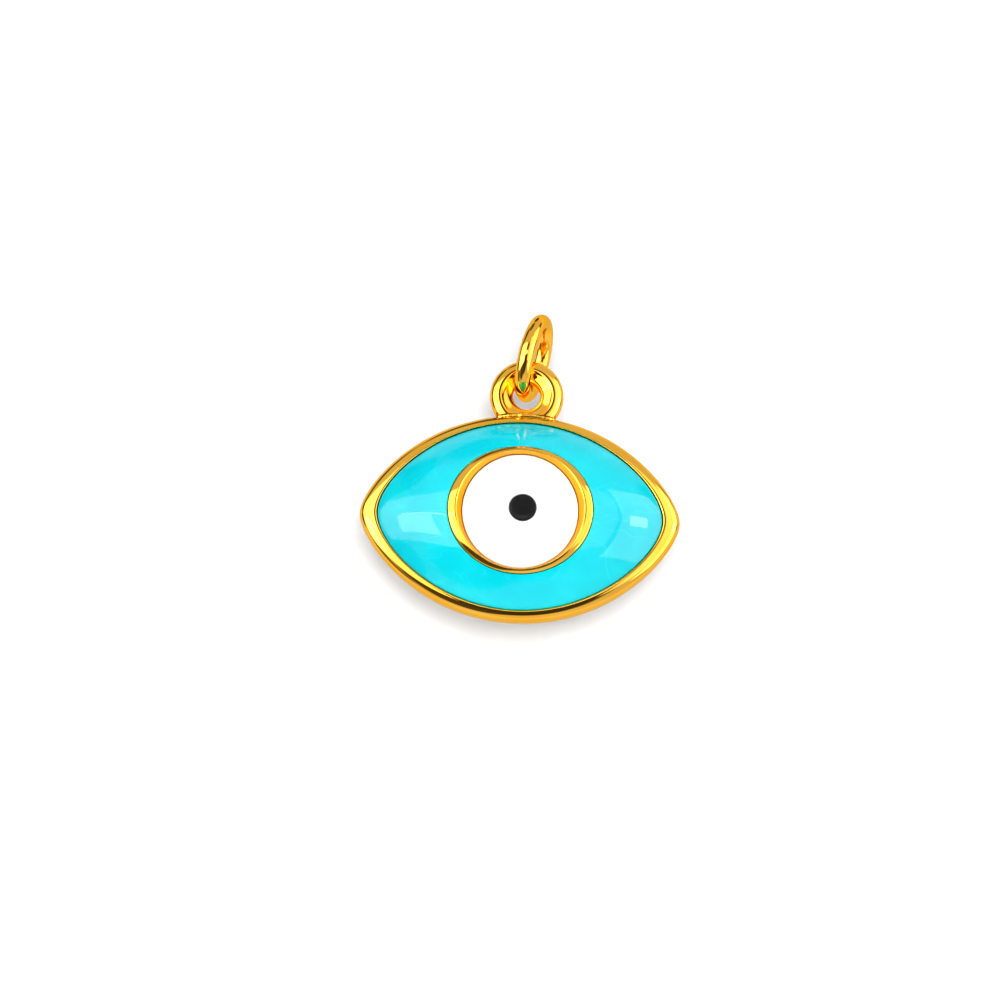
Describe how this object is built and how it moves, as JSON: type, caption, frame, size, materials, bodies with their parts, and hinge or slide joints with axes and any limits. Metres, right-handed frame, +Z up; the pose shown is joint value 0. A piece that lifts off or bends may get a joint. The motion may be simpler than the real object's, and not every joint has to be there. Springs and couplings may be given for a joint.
{
  "type": "evil eye charm",
  "caption": "Eye-shaped enamelled charm in polished yellow metal, with a domed turquoise field, white iris and black pupil, hung by a fixed loop from a round-wire jump ring.",
  "frame": {"origin": "inside top of the jump ring, where a chain or clasp passes through it", "axes": "+Z up along the hanging eye's height, +X to the right along its width as seen from the front, +Y from the face to the back"},
  "size_m": [0.018, 0.0051, 0.0177],
  "materials": {
    "polished_gold": "mirror-polished yellow gold plating on brass",
    "turquoise_glaze": "glossy opaque turquoise enamel",
    "white_glaze": "glossy opaque white enamel",
    "black_glaze": "glossy opaque black enamel"
  },
  "bodies": {
    "jump_ring": {"jump_ring": "polished_gold"},
    "eye": {"hanging_loop": "polished_gold", "rim": "polished_gold", "back_plate": "polished_gold", "front_tray": "polished_gold", "iris_cup": "polished_gold", "turquoise_enamel": "turquoise_glaze", "white_enamel": "white_glaze", "pupil_enamel": "black_glaze"}
  },
  "joints": [
    {"name": "eye_swing", "type": "hinge", "parent": "jump_ring", "child": "eye", "pos_m": [-0.00039, 0, -0.0016], "axis": [0.9576, -0.1736, -0.2299], "range_deg": [-90, 90]}
  ]
}
